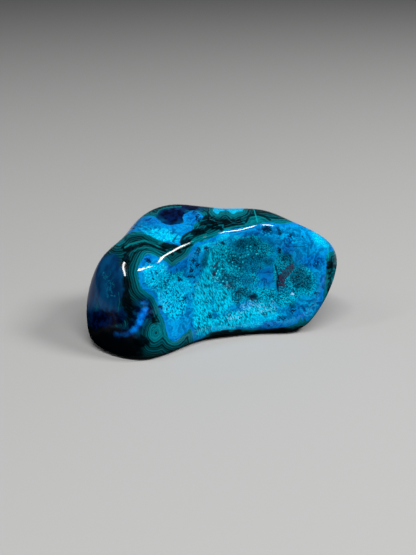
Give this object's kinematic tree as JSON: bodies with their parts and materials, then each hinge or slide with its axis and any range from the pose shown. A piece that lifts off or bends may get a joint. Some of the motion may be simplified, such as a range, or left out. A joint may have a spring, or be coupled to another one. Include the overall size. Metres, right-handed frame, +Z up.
{
  "type": "polished mineral specimen",
  "caption": "Polished freeform of malachite and chrysocolla with a dished front, a crisp upper rim and a flat to rest on.",
  "frame": {"origin": "on the resting flat's plane, in the middle of the stone's length and depth", "axes": "+X along the stone, +Y away from the dished front, +Z up"},
  "size_m": [0.0824, 0.0408, 0.0392],
  "materials": {
    "polished_stone": "polished"
  },
  "bodies": {
    "root": {"stone": "polished_stone"}
  },
  "joints": []
}
